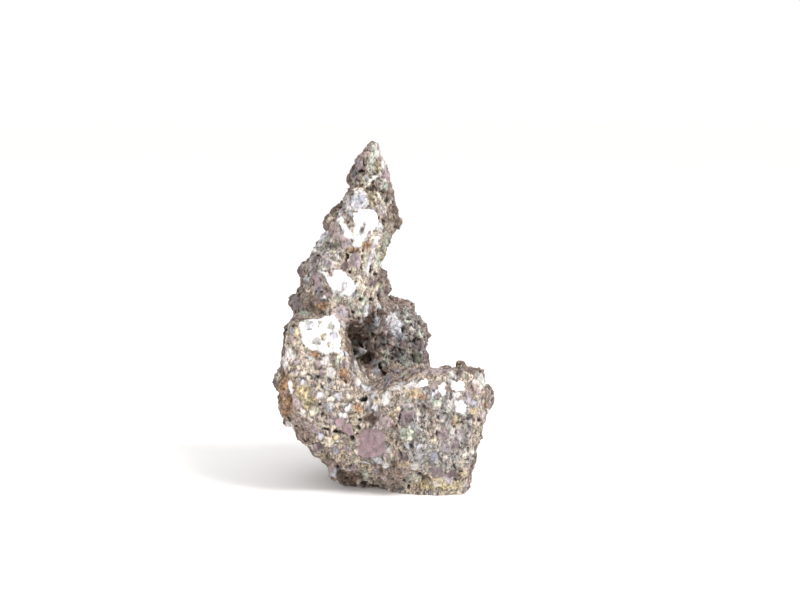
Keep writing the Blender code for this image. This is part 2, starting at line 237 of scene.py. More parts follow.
# The front's pebbles, veins and stains, from the tip down
FEATURES = (
    # The spire's tip
    Patch((375, 151), (8, 14), M.ICE),
    Patch((371, 162), (6.5, 17), M.GREEN, 5, 1.08),
    Patch((366, 153), (5, 5), M.PINK, 0, 0.95),
    Patch((359, 163), (6, 11), M.PURPLE, 0, 1.06),
    Patch((360, 155), (4.5, 4), M.PURPLE, 0, 1.08),
    Patch((376, 157), (3, 3.5), M.GREY, 0, 0.95),
    Patch((387, 175), (5, 8), M.PURPLE, 0, 1.05),
    Patch((382, 173), (3, 4), M.MAUVE),
    Patch((353, 178), (4.5, 6), M.PURPLE, 0, 1.04),
    Patch((351, 185), (3.5, 4), M.BROWN),
    Patch((368, 178), (3.5, 4.5), M.BLUE_GREY),
    Patch((374, 178), (7.5, 3.5), M.QUARTZ, -15),
    Patch((358, 189), (9, 3), M.CREAM),
    # The heart and what is round it
    Patch((360, 193), (12, 4), M.MILKY, 4, 1.04),
    Block(
        (359, 203),
        ((-7, 5), (-1.5, 7), (2.5, 7.5), (7, 4), (7.5, -1.5), (2.5, -4), (-1.5, -7.5), (-4.5, -5), (-7, 0)),
        M.PALE_BLUE,
    ),
    Patch((361, 200), (5, 6), M.BLUE_GREY, 0, 1.18),
    Patch((371, 200), (6, 13), M.OLIVE, -8, 0.82),
    Patch((380, 198), (3, 13), M.CREAM, -22),
    Patch((385, 208), (2.2, 10), M.CREAM, -10, 0.92),
    Patch((382, 212), (4, 5), M.MAUVE, 0, 0.95),
    Block(
        (359, 228),
        (
            (-4.5, 11.5), (-1.5, 11.5), (1.5, 15), (7, 15.5), (10, 14), (14, 12.5), (15.5, 8.5), (15, 2.5),
            (11.5, -1.5), (9.5, -4.5), (7, -8.5), (4, -11.5), (0, -15.5), (-4, -16.5), (-5.5, -14),
            (-5.5, -10), (-9.5, -8.5), (-11.5, -6), (-13.5, -2.5), (-15.5, 1), (-18, 4.5), (-17, 8),
            (-13.5, 9.5), (-11, 8), (-11.5, 4), (-8.5, 1), (-6, -2.5), (-4, 0), (-4.5, 5.5),
        ),
        M.QUARTZ,
    ),
    Patch((362, 228), (2.2, 7), M.GREY, 20, 0.95),
    Patch((359, 235), (2.5, 2.5), M.ICE, 0, 0.95),
    Patch((369, 234), (1.4, 8), M.PINK, 38, 1.05),
    Patch((348, 222), (4, 6), M.BROWN, -15, 1.05),
    Patch((346, 214), (6.5, 3.5), M.BROWN, 25, 1.12),
    Patch((352, 230), (1.8, 6), M.BROWN, -8, 1.2),
    Patch((336, 215), (3.5, 6), M.BROWN, 10),
    Block(
        (339, 234),
        (
            (-6, 10), (-2.5, 10), (1.5, 4), (4, -1), (8.5, -4.5), (10, -9.5), (7, -9.5), (1.5, -7),
            (-4, -4.5), (-7, -1), (-8, 4.5),
        ),
        M.PINK,
    ),
    Patch((333, 233), (4, 4), M.PURPLE, 0, 1.05),
    Patch((345, 245), (7, 4.5), M.MAUVE, -15, 0.96),
    Patch((324, 234), (6, 12), M.PALE_BLUE, 32, 1.08),
    Patch((331, 240), (5.5, 3.5), M.MILKY),
    Patch((332, 246), (12, 3.5), M.MOSS, -8, 0.95),
    Patch((354, 250), (8, 3), M.RUST, 0, 1.05),
    Patch((366, 245), (6, 6), M.RUST, 40, 0.85),
    # Below the heart
    Patch((314, 251), (4.5, 4.5), M.QUARTZ),
    Patch((312, 257), (4.5, 7), M.MAUVE, -20, 0.95),
    Patch((314, 264), (3.5, 6), M.PURPLE, -10, 1.1),
    Patch((329, 263), (6, 5), M.MAUVE, 20, 0.92),
    Patch((334, 262), (4, 4.5), M.PINK, -30, 1.12),
    Patch((338, 256), (5, 9), M.ASH, 0, 1.08),
    Patch((345, 266), (7.5, 6), M.PLUM, 0, 0.98),
    Patch((355, 260), (7.5, 12), M.PURPLE, -6, 1.02, 2.6),
    Patch((359, 264), (3, 9), M.MAUVE, -10, 0.98),
    Patch((375, 243), (3.6, 15), M.PALE_BLUE, 24),
    Patch((370, 262), (3, 20), M.PALE_BLUE, 11),
    Patch((366, 262), (2, 9), M.GREEN, 6, 0.95),
    Patch((379, 262), (6, 12), M.GREEN, 8),
    Patch((384, 256), (3.5, 9), M.OLIVE, 0, 0.8),
    Patch((312, 272), (3.5, 5), M.MAUVE, 0, 0.95),
    Patch((316, 280), (5, 15), M.LILAC, -18, 1.0, 2.6),
    Patch((322, 276), (3, 4.5), M.GREY, 0, 0.92),
    Patch((306, 262), (4, 8), M.SAND, 20, 0.92),
    Block(
        (340, 283),
        (
            (-15.5, 10), (-8, 8.5), (0, 11.5), (6, 5.5), (9.5, 3), (14, -4), (8, -11), (0, -10),
            (-5.5, -7), (-8.5, -1), (-12.5, 5.5),
        ),
        M.QUARTZ,
    ),
    Patch((331, 273), (4.5, 4.5), M.BROWN, 0, 1.12),
    Patch((344, 286), (4, 6.5), M.PALE_BLUE, 10, 1.08),
    Patch((362, 288), (9, 6), M.CREAM, -20, 0.97),
    Patch((336, 293), (7, 4), M.ASH, 0, 1.1),
    Patch((373, 282), (5.5, 5), M.PLUM),
    Patch((377, 288), (2.4, 8), M.CREAM, 30, 0.97),
    Patch((325, 289), (4, 6), M.BROWN, -20),
    Patch((324, 297), (3.5, 3.5), M.MILKY, 0, 1.05),
    Patch((329, 293), (5, 4), M.PURPLE, 20, 1.06),
    Patch((337, 300), (5.5, 4), M.GREEN, 0, 0.93),
    Patch((354, 295), (3.2, 3.2), M.BLUE_GREY, 0, 0.9),
    Patch((348, 298), (6, 4), M.ASH, 0, 1.06),
    Patch((296, 304), (8, 10.5), M.PURPLE, 0, 0.93),
    Patch((312, 304), (5, 7), M.UMBER, 0, 1.05),
    Patch((323, 306), (9, 7), M.RUST, 0, 0.92),
    Patch((304, 313), (8, 4), M.GREEN, 0, 0.9),
    Patch((366, 310), (3.6, 13), M.PALE_BLUE, 25),
    Patch((366, 315), (3.2, 5), M.QUARTZ, 15),
    Patch((363, 302), (4, 5), M.GREEN),
    # The shoulder's white block and below it
    Block(
        (320, 334),
        (
            (-15, 9.5), (-6, 11.5), (4, 14), (10, 15), (15, 8), (15.5, -3), (16, -14), (8, -15),
            (-1.5, -13.5), (-8.5, -11.5), (-13.5, -8), (-15.5, -1),
        ),
        M.QUARTZ,
    ),
    Patch((309, 325), (6.5, 6.5), M.PALE_BLUE, 15, 0.98),
    Patch((321, 324), (5, 4.5), M.ICE, 0, 1.04),
    Block((317, 339), ((-4.5, -4), (2, 4.5), (5, 1.5), (2, -4)), M.GREY, 1.06),
    Patch((334, 336), (5, 7), M.PALE_BLUE, 10, 0.94),
    Patch((324, 336), (2.6, 5), M.OCHRE, 20),
    Patch((331, 327), (4.5, 5), M.ICE, -20, 1.02),
    Patch((331, 345), (6, 4), M.CREAM, 0, 1.04),
    Patch((294, 325), (6, 7), M.BROWN),
    Patch((291, 331), (4, 3.5), M.BLUE_GREY, 0, 1.0),
    Patch((298, 333), (3, 10), M.OCHRE, -6, 0.97),
    Patch((292, 338), (4.5, 5), M.MAUVE, 0, 1.05),
    Patch((296, 345), (5, 9), M.CREAM, -30, 0.97),
    Patch((296, 351), (5, 4), M.BROWN, -30),
    Patch((314, 354), (7.5, 5), M.RUST, 20),
    Patch((318, 363), (5.5, 8), M.PINK, -22, 0.85),
    Patch((322, 373), (4, 6), M.PURPLE, -24, 1.0),
    Patch((326, 361), (6.5, 9), M.MILKY, -20),
    Patch((331, 372), (7, 8), M.MILKY, 0, 0.93),
    Patch((338, 360), (5.5, 7), M.GREEN, 0, 1.06),
    Patch((336, 354), (5, 1.6), M.RUST, -6, 0.88),
    Patch((343, 374), (7.5, 10), M.RUST, -12, 0.94),
    Patch((347, 380), (5, 7), M.RUST, -30, 0.82),
    Patch((357, 366), (2, 15), M.MILKY, -24),
    Patch((359, 382), (4, 7), M.MILKY, 0, 1.03),
    Patch((354, 376), (4, 6), M.MAUVE, 0, 0.92),
    Patch((286, 358), (5, 18), M.MILKY, 14, 0.98),
    Patch((297, 362), (5.5, 4.5), M.MAUVE, -20, 1.06),
    Patch((296, 372), (6.5, 4.5), M.MAUVE, -14, 1.08),
    Patch((294, 367), (6, 2), M.OLIVE, 0, 0.8),
    Patch((292, 377), (6.5, 4), M.OCHRE, -10, 0.97),
    Patch((303, 381), (3.6, 5), M.PALE_BLUE, 20, 1.04),
    Patch((299, 381), (2.4, 3.5), M.BLUE_GREY),
    Patch((278, 376), (3.5, 6), M.CREAM, 0, 0.97),
    Patch((283, 373), (3, 12), M.RUST, -28, 0.8),
    Patch((285, 386), (4, 10), M.RUST, -10),
    Patch((291, 388), (3, 12), M.QUARTZ, -15),
    Patch((297, 389), (2.6, 9), M.RUST, -35, 0.98),
    Patch((296, 402), (6, 11), M.PINK, -22, 1.04),
    Patch((304, 392), (7, 7), M.OCHRE, -10, 1.0),
    Patch((306, 405), (6, 6), M.OLIVE, 0, 0.96),
    Patch((314, 411), (7, 7), M.CREAM, 0, 0.92),
    Patch((303, 412), (3.2, 7.5), M.MILKY, -18, 1.06),
    Patch((313, 392), (4.5, 5), M.MAUVE, 0, 1.0),
    Patch((320, 395), (5, 4.5), M.PALE_BLUE, 0, 0.98),
    Patch((331, 408), (5.5, 8.5), M.PALE_BLUE, 0, 0.96),
    Patch((328, 409), (2.6, 6), M.BLUE_GREY, 0, 1.02),
    Patch((338, 397), (4.5, 8), M.PALE_BLUE, -38, 1.0),
    Patch((348, 394), (3.2, 4), M.PINK, -20, 1.08),
    Patch((345, 399), (4, 5), M.BROWN, -30, 1.02),
    Patch((348, 408), (4.2, 8.5), M.QUARTZ, 10),
    Patch((358, 408), (6.5, 7), M.RUST, 0, 1.05),
    Patch((368, 403), (4, 4.5), M.MILKY, 0, 1.05),
    Patch((375, 407), (5, 5.5), M.PALE_BLUE, 10, 1.04),
    Patch((368, 409), (4, 3), M.STEEL, 0, 1.1),
    Patch((377, 414), (6, 4), M.MAUVE, 0, 0.9),
    Patch((386, 398), (7, 11), M.MILKY, 15, 0.98),
    # The foot of the shoulder and the lilac pebble
    Patch((349, 430), (7.5, 10.5), M.LILAC, -30, 1.0),
    Patch((340, 422), (9, 6), M.LILAC, -10, 1.1),
    Patch((330, 422), (6, 4), M.PINK, 0, 0.97),
    Patch((314, 430), (6, 9), M.PURPLE, 0, 1.08),
    Patch((305, 425), (6, 5), M.PINK, 0, 0.92),
    Patch((321, 437), (5, 6.5), M.PALE_BLUE, 0, 0.97),
    Patch((329, 443), (7, 10), M.CREAM, -14, 1.03),
    Patch((335, 438), (5, 4), M.OCHRE),
    Patch((338, 442), (4, 2), M.QUARTZ),
    Patch((345, 440), (4, 4), M.BROWN, 0, 1.0),
    Patch((336, 451), (5, 6.5), M.BLUE_GREY, -20, 1.02),
    Patch((343, 454), (3.6, 6.5), M.OCHRE, -16, 1.02),
    Patch((347, 449), (4.5, 5.5), M.MAUVE, 0, 0.96),
    Patch((325, 456), (7, 3), M.OLIVE, 28, 0.86),
    Patch((331, 463), (8, 4.5), M.BROWN, 24, 1.1),
    Patch((330, 470), (7, 6.5), M.PINK, -14, 0.9),
    Patch((341, 474), (9, 8), M.UMBER, -30, 0.72),
    Patch((344, 467), (1.5, 9), M.CREAM, -40, 0.93),
    Patch((354, 470), (3.4, 7.5), M.PURPLE, -15, 1.05),
    Patch((371, 444), (22, 22), M.LILAC, 0, 1.0, 3.2),
    Patch((358, 441), (4, 8), M.PINK, 0, 1.04),
    Patch((356, 453), (3, 5), M.CREAM, -10, 0.97),
    Patch((389, 449), (4, 5), M.MILKY, 0, 1.03),
    Patch((386, 443), (2.4, 3.4), M.MOSS),
    Patch((369, 461), (8, 4), M.MOSS, 0, 1.15),
    Patch((366, 466), (4, 4), M.OLIVE, 0, 0.88),
    Patch((374, 467), (5, 6), M.PLUM, 0, 1.12),
    Patch((366, 475), (5, 7), M.GREEN, -20, 1.06),
    Patch((358, 482), (4.5, 3.5), M.CREAM, 0, 0.97),
    Patch((384, 478), (5, 3.5), M.PINK, 0, 1.1),
    Patch((403, 464), (8, 2.6), M.OCHRE, 0, 0.93),
    # The hollow and the back lobe
    Patch((355, 342), (4, 4.5), M.MOSS, 0, 1.12),
    Patch((364, 343), (3, 4), M.GREY, 0, 0.82),
    Patch((371, 341), (4, 3.5), M.GREY, 0, 0.88),
    Patch((369, 330), (5, 4), M.PLUM, 0, 1.05),
    Patch((374, 348), (5, 5.5), M.PLUM, 0, 0.75),
    Patch((378, 322), (6, 7), M.BLUE_GREY, 10, 1.04),
    Patch((372, 327), (4, 5), M.STEEL, 10, 1.15),
    Block(
        (394, 325),
        ((-7, 4), (-2.5, 10), (2.5, 10), (5.5, 4), (7, -4), (4, -12.5), (0, -8.5), (-4, -1.5)),
        M.PALE_BLUE,
    ),
    Patch((399, 335), (3.6, 8), M.STEEL, -20, 1.05),
    Patch((391, 322), (1.6, 9), M.MAUVE, 22, 0.98),
    Patch((395, 324), (1.2, 9), M.MILKY, 22),
    Patch((403, 338), (2.4, 4), M.PALE_BLUE, 30, 1.08),
    Patch((404, 344), (5, 4.5), M.PLUM, 0, 1.1),
    Patch((409, 322), (7, 4), M.GREEN, 0, 1.05),
    Patch((412, 329), (5, 3), M.CREAM, 0, 0.97),
    Patch((416, 330), (2.6, 6), M.PALE_BLUE, 0, 0.93),
    Patch((422, 334), (4.5, 5.5), M.GREEN, 0, 1.06),
    Patch((408, 313), (8, 6), M.GREEN, 0, 0.97),
    Patch((396, 307), (6, 3), M.ASH, -20, 1.0),
    Patch((411, 344), (5, 4), M.GREY, 0, 0.86),
    Patch((417, 357), (8, 9), M.MOSS),
    Patch((425, 357), (4.5, 11), M.PLUM, 0, 1.02),
    Patch((407, 363), (5.5, 7), M.GREEN, 0, 0.9),
    Patch((414, 371), (7, 7), M.PURPLE, 0, 1.02),
    Patch((396, 372), (10, 7), M.MAUVE, 0, 0.86),
    Patch((405, 374), (4, 6), M.GREEN, 0, 0.88),
    Patch((386, 361), (4.5, 7), M.GREEN, 0, 0.97),
    Patch((391, 344), (6, 5), M.PINK, 0, 1.0),
    Patch((376, 372), (4.5, 8), M.STEEL, -14, 1.08),
    Patch((387, 379), (6, 4), M.STEEL, -30, 1.1),
    # The low block's top
    Patch((436, 370), (13, 6), M.PINK, 0, 0.93),
    Patch((425, 373), (5, 6), M.PINK, 0, 1.04),
    Patch((446, 371), (5, 6), M.PURPLE, 0, 1.04),
    Patch((452, 374), (4.5, 8), M.ICE, 8, 0.98),
    Patch((461, 371), (5.5, 7), M.PLUM, 0, 0.88),
    Patch((466, 377), (4, 4), M.MOSS, 0, 1.35),
    Patch((482, 379), (6, 12), M.ICE, -18, 0.97),
    Patch((474, 381), (4, 3), M.MILKY),
    # Its white band
    Patch((412, 385), (11, 6), M.MILKY, -14, 0.97),
    Patch((396, 388), (8, 4), M.MILKY, -14, 0.97),
    Patch((424, 383), (8, 7), M.QUARTZ, -15),
    Patch((433, 395), (2.4, 7), M.PALE_BLUE, 8, 1.08),
    Patch((434, 386), (3.6, 6), M.PURPLE, 8),
    Patch((443, 389), (5.5, 11), M.QUARTZ, -14, 0.99),
    Patch((448, 389), (2.4, 8), M.BROWN, -18, 1.05),
    Patch((458, 385), (10.5, 7.5), M.QUARTZ, 8),
    Patch((457, 394), (7, 5), M.MILKY, 0, 1.04),
    Patch((469, 391), (5, 6), M.PURPLE, -20, 1.12),
    Patch((478, 388), (6.5, 10), M.PINK, 0, 1.08),
    Patch((461, 407), (8.5, 11), M.QUARTZ, -25, 0.98),
    Patch((456, 403), (4, 6), M.PALE_BLUE, -20, 1.06),
    Patch((469, 400), (5.5, 7), M.MAUVE, -10, 1.02),
    Patch((475, 404), (4, 5.5), M.BLUE_GREY, 0, 1.14),
    Patch((474, 412), (4.5, 6), M.OCHRE, 10, 1.0),
    Patch((456, 420), (4.5, 7), M.OCHRE, -25, 1.0),
    Patch((486, 405), (3, 4.5), M.RUST, 0, 1.08),
    Patch((484, 414), (4.5, 5), M.MAUVE, 0, 1.08),
    # Its front
    Patch((408, 406), (9, 4.5), M.MAUVE, -14, 0.93),
    Patch((408, 415), (10, 7), M.PURPLE, -18, 1.05),
    Patch((404, 424), (5, 4.5), M.PURPLE, 0, 1.0),
    Patch((419, 412), (2.2, 10), M.CREAM, -22),
    Patch((424, 407), (6, 7), M.BROWN, 0, 0.88),
    Patch((423, 397), (6, 4.5), M.RUST, 0, 0.9),
    Patch((430, 412), (4, 6), M.BROWN, -20, 0.95),
    Patch((438, 404), (5.5, 7), M.GREEN, 0, 1.08),
    Patch((407, 434), (11, 12), M.GREEN, 0, 1.05),
    Patch((414, 427), (5, 4), M.STEEL, 0, 1.1),
    Patch((415, 437), (4.5, 5.5), M.GREEN, 0, 0.9),
    Patch((411, 445), (3.6, 5), M.STEEL, 0, 0.85),
    Patch((406, 446), (5, 5), M.PALE_BLUE),
    Patch((420, 446), (5.5, 4.5), M.PALE_BLUE, 0, 0.98),
    Patch((419, 455), (6.5, 8), M.GREY, 0, 1.0),
    Patch((404, 458), (4.5, 6.5), M.PURPLE, -10, 0.93),
    Patch((394, 415), (4, 5), M.OCHRE, 0, 0.9),
    Patch((443, 434), (7.5, 9), M.PURPLE, 0, 1.12),
    Patch((447, 447), (7.5, 12), M.MAUVE, 0, 0.95),
    Patch((459, 436), (4.2, 10), M.MAUVE, -4, 1.14),
    Patch((456, 445), (3.8, 6.5), M.PURPLE, -6, 0.96),
    Patch((434, 441), (5.5, 7.5), M.SAND, 0, 1.02),
    Patch((434, 457), (7, 7), M.BLUE_GREY, 0, 1.02),
    Patch((431, 464), (4.5, 4), M.STEEL, 0, 1.05),
    Patch((437, 461), (3, 4), M.MAUVE, 0, 1.12),
    Patch((437, 472), (8.5, 7), M.PURPLE, 0, 1.0),
    Patch((415, 467), (7, 4.5), M.MILKY, 0, 0.95),
    Patch((425, 484), (9, 6), M.OCHRE, 0, 1.03),
    Patch((437, 484), (7, 5.5), M.CREAM, 0, 0.9),
    Patch((429, 482), (1.4, 5), M.MILKY, -30),
    Patch((450, 480), (8, 6), M.MAUVE, 0, 0.97),
    Patch((462, 463), (5, 8), M.CREAM, 0, 1.02),
    Patch((470, 464), (4.5, 9), M.PURPLE, 0, 1.14),
    Patch((464, 475), (3.6, 5.5), M.OCHRE, -14, 0.97),
    Patch((466, 454), (5, 2.2), M.CREAM, -16, 1.05),
    Patch((473, 452), (4.5, 6), M.ICE, 0, 1.0),
    Patch((470, 481), (5, 5), M.PINK, 0, 0.93),
)

HOLES = (
    # The spire
    Hole((361, 171), (5, 2.6), 3.5),
    Hole((363, 162), (1.6, 8), 1.8),
    Hole((378, 171), (3, 3), 1.2, -30),
    Hole((383, 192), (2.4, 3), 1.6),
    Hole((387, 198), (1.6, 5), 1.2),
    Hole((393, 203), (1.6, 5), 1.2, -10),
    Hole((383, 222), (2.6, 7), 1.6, -8),
    Hole((379, 218), (2.4, 3), 1.4),
    Hole((390, 219), (2, 4), 1.2),
    Hole((395, 227), (3, 3), 1.2),
    Hole((376, 204), (2.4, 2.4), 1.6),
    Hole((369, 206), (2, 2), 1.2),
    Hole((348, 222), (1.4, 1.4), 1.0),
    Hole((346.5, 257), (2.2, 7.5), 4.0, 4),
    Hole((350, 272), (3.4, 3.4), 2.6),
    Hole((318, 255), (4, 1.8), 1.4),
    Hole((363, 250), (2.4, 4), 2.0),
    Hole((363, 257), (2.2, 3), 1.8),
    Hole((362, 268), (1.6, 8), 1.6, -8),
    Hole((371, 270), (2, 9), 2.2, 8),
    Hole((376, 275), (5, 2.4), 2.0),
    Hole((382, 260), (3, 1.6), 1.2, 20),
    Hole((308, 275), (2, 4), 1.2),
    Hole((322, 292), (3.4, 1.8), 1.4),
    Hole((316, 292), (1.6, 3), 1.2),
    Hole((356, 281), (3, 2), 1.2),
    Hole((366, 285), (1.8, 3), 1.2, -30),
    Hole((380, 297), (4.5, 6.5), 4.5, -6),
    Hole((372, 299), (3.6, 3), 2.8),
    Hole((361, 300), (3.6, 3), 2.6),
    Hole((383, 307), (2, 3.4), 2.0),
    Hole((379, 313), (3.2, 7.5), 4.5, -6),
    Hole((373, 315), (2.4, 7), 2.6, 8),
    Hole((322, 300), (5, 1.2), 1.4),
    Hole((298, 311), (1.6, 5), 1.2),
    Hole((353, 312), (4, 2.8), 1.8),
    Hole((349, 317), (2, 2.6), 1.6),
    Hole((359, 318), (2.4, 3.2), 2.0),
    Hole((303, 318), (12, 1.2), 1.2, -6),
    # The hollow and the back lobe
    Hole((350, 337), (4.8, 4), 6.0, -10),
    Hole((357, 335), (3.4, 2.4), 3.5, -10),
    Hole((373, 335), (3.6, 5), 5.0, -10),
    Hole((366, 339), (4.5, 2.2), 3.0, -8),
    Hole((355, 352), (4, 7.5), 6.5, -42),
    Hole((348, 349), (1.8, 6), 2.4, -8),
    Hole((361, 345), (2, 6.5), 3.0, -34),
    Hole((367, 349), (3, 3), 2.0),
    Hole((376, 348), (2.4, 6), 3.0, 12),
    Hole((364, 327), (3, 2.4), 2.0),
    Hole((350, 330), (2.4, 3), 2.0),
    Hole((380, 366), (2.4, 7), 4.5, -10),
    Hole((384, 374), (2.2, 7.5), 3.5, -38),
    Hole((403, 330), (2.6, 3.8), 2.0),
    Hole((420, 323), (2.2, 4), 2.5, -16),
    Hole((426, 337), (2, 6), 2.0, 30),
    Hole((392, 358), (2.2, 2.2), 1.8),
    Hole((399, 350), (1.6, 5), 1.6, -24),
    Hole((411, 348), (4, 2), 1.6),
    Hole((413, 357), (1.8, 7), 1.8, -16),
    Hole((402, 355), (3, 2.4), 1.6),
    Hole((384, 346), (2.6, 2), 1.4),
    Hole((425, 363), (3, 2), 1.4),
    Hole((422, 368), (2, 5), 1.6, 20),
    # The shoulder
    Hole((293, 325), (3.4, 2.4), 1.4, -20),
    Hole((345, 353), (1.6, 5), 1.6, -16),
    Hole((307, 358), (3.6, 1.5), 1.4, 12),
    Hole((317, 376), (3, 3), 1.6),
    Hole((322, 386), (1.8, 7), 1.6, -34),
    Hole((341, 378), (1.4, 4), 1.2, -20),
    Hole((346, 381), (1.6, 5), 1.4, -30),
    Hole((284, 389), (2.2, 2.2), 1.4),
    Hole((283, 374), (1.4, 7), 1.2, -30),
    Hole((364, 399), (5.5, 3.4), 2.6, -12),
    Hole((320, 405), (2.6, 2), 1.2, 30),
    Hole((323, 415), (2, 5.5), 1.6, 6),
    Hole((288, 418), (1.6, 8), 1.4, -38),
    Hole((338, 432), (8.5, 3.8), 3.4, 12),
    Hole((327, 429), (8, 2.2), 2.4, 12),
    Hole((352, 438), (4, 3.6), 2.8, 20),
    Hole((357, 434), (3, 2.4), 1.8, -40),
    Hole((360, 420), (2.6, 2.6), 2.0),
    Hole((359, 428), (1.8, 3.6), 1.8, -16),
    Hole((296, 426), (3.4, 2), 1.8, 24),
    Hole((304, 441), (2.2, 4.5), 2.0, -28),
    Hole((314, 444), (6.5, 1.1), 1.2),
    Hole((337, 444), (7, 1.3), 1.4, -5),
    Hole((356, 413), (2.4, 1.4), 1.0),
    Hole((337, 468), (3, 4.5), 2.0, -20),
    Hole((346, 478), (4, 3), 1.6, -30),
    Hole((350, 467), (1.6, 5), 1.4, 10),
    Hole((364, 484), (9, 4), 4.0, 6),
    # The low block
    Hole((400, 418), (1.5, 11), 2.6, 10),
    Hole((397, 427), (1.5, 5), 1.6),
    Hole((411, 446), (2.6, 4), 1.4),
    Hole((424, 407), (3, 3.4), 1.4),
    Hole((438, 417), (1.5, 4), 1.2),
    Hole((444, 414), (3.6, 2), 1.2),
    Hole((480, 420), (4.2, 4.2), 3.0, -30),
    Hole((454, 427), (2.4, 1.8), 1.4),
    Hole((437, 433), (1.8, 5), 1.4),
    Hole((420, 439), (2.4, 3), 1.2, -30),
    Hole((391, 438), (2.8, 2.2), 1.6),
    Hole((396, 444), (1.8, 4), 1.4),
    Hole((400, 453), (1.6, 6), 1.2, -26),
    Hole((412, 462), (3, 1.8), 1.4),
    Hole((420, 475), (5, 2.6), 2.6, -8),
    Hole((394, 466), (2, 2), 1.2),
    Hole((455, 467), (1.8, 5), 1.6, -16),
    Hole((461, 471), (4, 2), 1.4),
    Hole((467, 459), (3, 1.8), 1.6),
    Hole((468, 449), (1.8, 2.2), 1.2),
    Hole((462, 444), (2, 2), 1.0),
    Hole((457, 373), (1.6, 3), 1.2),
    Hole((451, 395), (1.3, 5), 1.2),
    Hole((434, 391), (1.8, 1.8), 1.2),
    Hole((404, 481), (1.6, 5), 1.4, -20),
    Hole((409, 487), (2.4, 4), 2.2),
    Hole((456, 482), (1.4, 7), 1.4, -28),
)


class Wire:
    """One value in a node tree, with the operators that shader maths is written in."""

    def __init__(self, board: "Board", socket: bpy.types.NodeSocket) -> None:
        """Keeps the board that new nodes go on, and the socket that holds the value."""
        self.board = board
        self.socket = socket

    def _maths(self, operation: str, first: object, second: object) -> "Wire":
        """A Math node on two values."""
        return self.board.add("ShaderNodeMath", {"operation": operation}, {0: first, 1: second})

    def __add__(self, other: object) -> "Wire":
        """The sum."""
        return self._maths("ADD", self, other)

    __radd__ = __add__

    def __sub__(self, other: object) -> "Wire":
        """The difference."""
        return self._maths("SUBTRACT", self, other)

    def __rsub__(self, other: object) -> "Wire":
        """The difference, from a number."""
        return self._maths("SUBTRACT", other, self)

    def __mul__(self, other: object) -> "Wire":
        """The product."""
        return self._maths("MULTIPLY", self, other)

    __rmul__ = __mul__

    def __truediv__(self, other: object) -> "Wire":
        """The quotient."""
        return self._maths("DIVIDE", self, other)

    def __pow__(self, other: object) -> "Wire":
        """The power."""
        return self._maths("POWER", self, other)

    def __abs__(self) -> "Wire":
        """The value without its sign."""
        return self._maths("ABSOLUTE", self, 0)

    def least(self, other: object) -> "Wire":
        """The smaller of the two."""
        return self._maths("MINIMUM", self, other)

    def most(self, other: object) -> "Wire":
        """The larger of the two."""
        return self._maths("MAXIMUM", self, other)

    def step(self, low: float, high: float) -> "Wire":
        """A smooth rise from 0 at low to 1 at high, or a fall where low is the larger."""
        inputs = {"Value": self, "From Min": low, "From Max": high}
        return self.board.add("ShaderNodeMapRange", {"interpolation_type": "SMOOTHSTEP"}, inputs)


class Board:
    """A material's node tree, and the few ways in which this stone's nodes are added to it."""

    def __init__(self, name: str) -> None:
        """Starts an empty material of that name."""
        self.material = bpy.data.materials.new(name)
        self.material.use_nodes = True
        self.tree = self.material.node_tree
        self.tree.nodes.clear()

    def add(self, kind: str, settings: dict, inputs: dict, output: object = 0) -> Wire:
        """Adds one node.

        Args:
            kind: the node's type.
            settings: what is set on the node itself, first.
            inputs: socket names or numbers, with a value or a wire for each.
            output: the name or number of the output that is wanted.

        Returns:
            That output.
        """
        node = self.tree.nodes.new(kind)
        for key, value in settings.items():
            setattr(node, key, value)
        for key, value in inputs.items():
            self.feed(node.inputs[key], value)
        return Wire(self, node.outputs[output])

    def feed(self, socket: bpy.types.NodeSocket, value: object) -> None:
        """Links a wire to a socket, or sets a plain value on it."""
        if isinstance(value, Wire):
            self.tree.links.new(value.socket, socket)
        else:
            socket.default_value = value

    def other(self, wire: Wire, output: object) -> Wire:
        """Another output of the node that a wire comes from."""
        return Wire(self, wire.socket.node.outputs[output])

    def attribute(self, name: str, output: str = "Fac") -> Wire:
        """What the mesh holds under that name."""
        return self.add("ShaderNodeAttribute", {"attribute_name": name}, {}, output)

    def noise(
        self, place: Wire, size: float, detail: float = 2.0, rough: float = 0.5, output: str = "Fac"
    ) -> Wire:
        """Cloudy noise with patches of that size in mm, about 0.5 on average."""
        inputs = {"Vector": place, "Scale": 1 / size, "Detail": detail, "Roughness": rough}
        return self.add("ShaderNodeTexNoise", {}, inputs, output)

    def cells(self, place: Wire, size: float, feature: str = "F1", output: str = "Distance") -> Wire:
        """Grains of that size in mm."""
        inputs = {"Vector": place, "Scale": 1 / size}
        return self.add("ShaderNodeTexVoronoi", {"feature": feature}, inputs, output)

    def blend(self, share: object, below: object, above: object, way: str = "MIX") -> Wire:
        """Mixes two colours."""
        settings = {"data_type": "RGBA", "blend_type": way, "clamp_factor": True}
        inputs = {0: share, 6: self._colour(below), 7: self._colour(above)}
        return self.add("ShaderNodeMix", settings, inputs, 2)

    @staticmethod
    def _colour(value: object) -> object:
        """A plain colour with its alpha, or the wire as it is."""
        return value if isinstance(value, Wire) else (*value, 1.0)

    def scaled(self, colour: Wire, share: Wire) -> Wire:
        """A colour made brighter or darker by a value."""
        return self.vector("SCALE", {0: colour, "Scale": share})

    def vector(self, operation: str, inputs: dict) -> Wire:
        """A Vector Math node."""
        return self.add("ShaderNodeVectorMath", {"operation": operation}, inputs)

    def split(self, colour: Wire) -> tuple[Wire, Wire, Wire]:
        """A colour's three parts."""
        red = self.add("ShaderNodeSeparateColor", {}, {0: colour})
        return red, self.other(red, 1), self.other(red, 2)

    def surface(self, shader: Wire) -> bpy.types.Material:
        """Ends the tree in that shader."""
        out = self.tree.nodes.new("ShaderNodeOutputMaterial")
        self.tree.links.new(shader.socket, out.inputs["Surface"])
        return self.material


